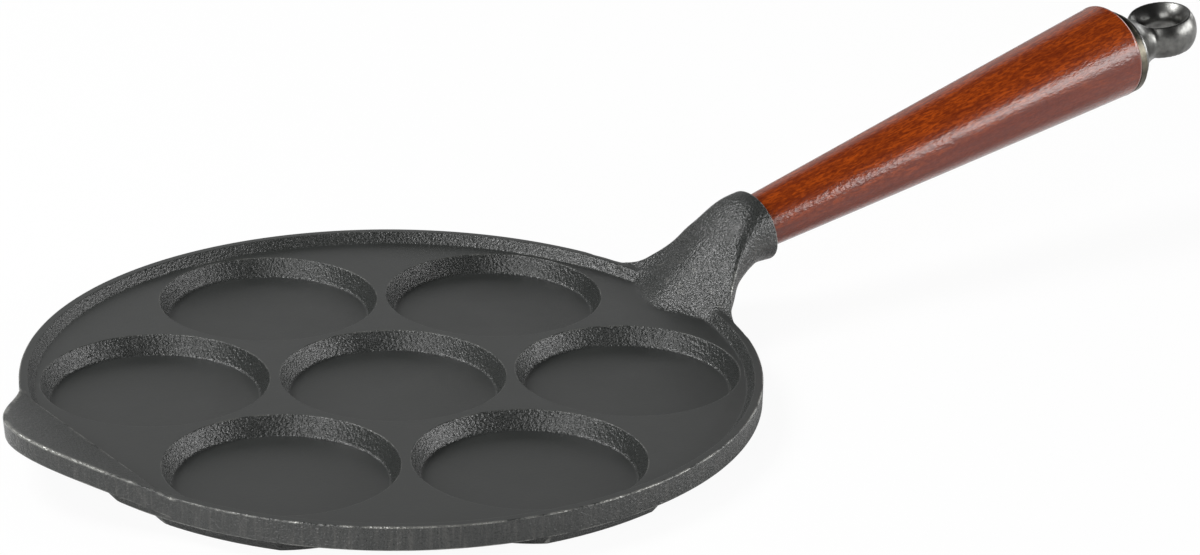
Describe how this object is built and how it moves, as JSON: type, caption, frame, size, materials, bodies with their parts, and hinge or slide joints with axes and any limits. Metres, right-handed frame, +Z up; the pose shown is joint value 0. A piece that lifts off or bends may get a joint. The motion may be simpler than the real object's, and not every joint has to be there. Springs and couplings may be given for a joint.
{
  "type": "blini pan",
  "caption": "Round cast-iron blini pan with shallow round pits, a pouring lip, a socket neck and a turned wooden grip that ends in a steel hanging eye.",
  "frame": {"origin": "centre of the pan's flat base, on the surface it stands on", "axes": "+X along the handle, away from the pan; +Z up"},
  "size_m": [0.4684, 0.23, 0.078],
  "materials": {
    "seasoned_iron": "seasoned, satin",
    "lacquered_wood": "glossy red-brown lacquer",
    "cast_steel": "tumbled, semi-gloss",
    "turned_steel": "turned"
  },
  "bodies": {
    "pan": {"pan_body": "seasoned_iron", "wood_grip": "lacquered_wood"},
    "washer": {"end_washer": "turned_steel"},
    "eye": {"hanging_eye": "cast_steel", "tie_rod": "turned_steel"}
  },
  "joints": [
    {"name": "washer_slide", "type": "slide", "parent": "pan", "child": "washer", "axis": [0.9797, 0, 0.2006], "range_m": [0, 0.01]},
    {"name": "eye_turn", "type": "hinge", "parent": "washer", "child": "eye", "pos_m": [0.14256, 0, 0.02774], "axis": [0.9797, 0, 0.2006], "range_deg": [0, 3600]}
  ],
  "couplings": [
    {"joint": "eye_turn", "follows": "washer_slide", "rad_per_m": 6283.2}
  ]
}
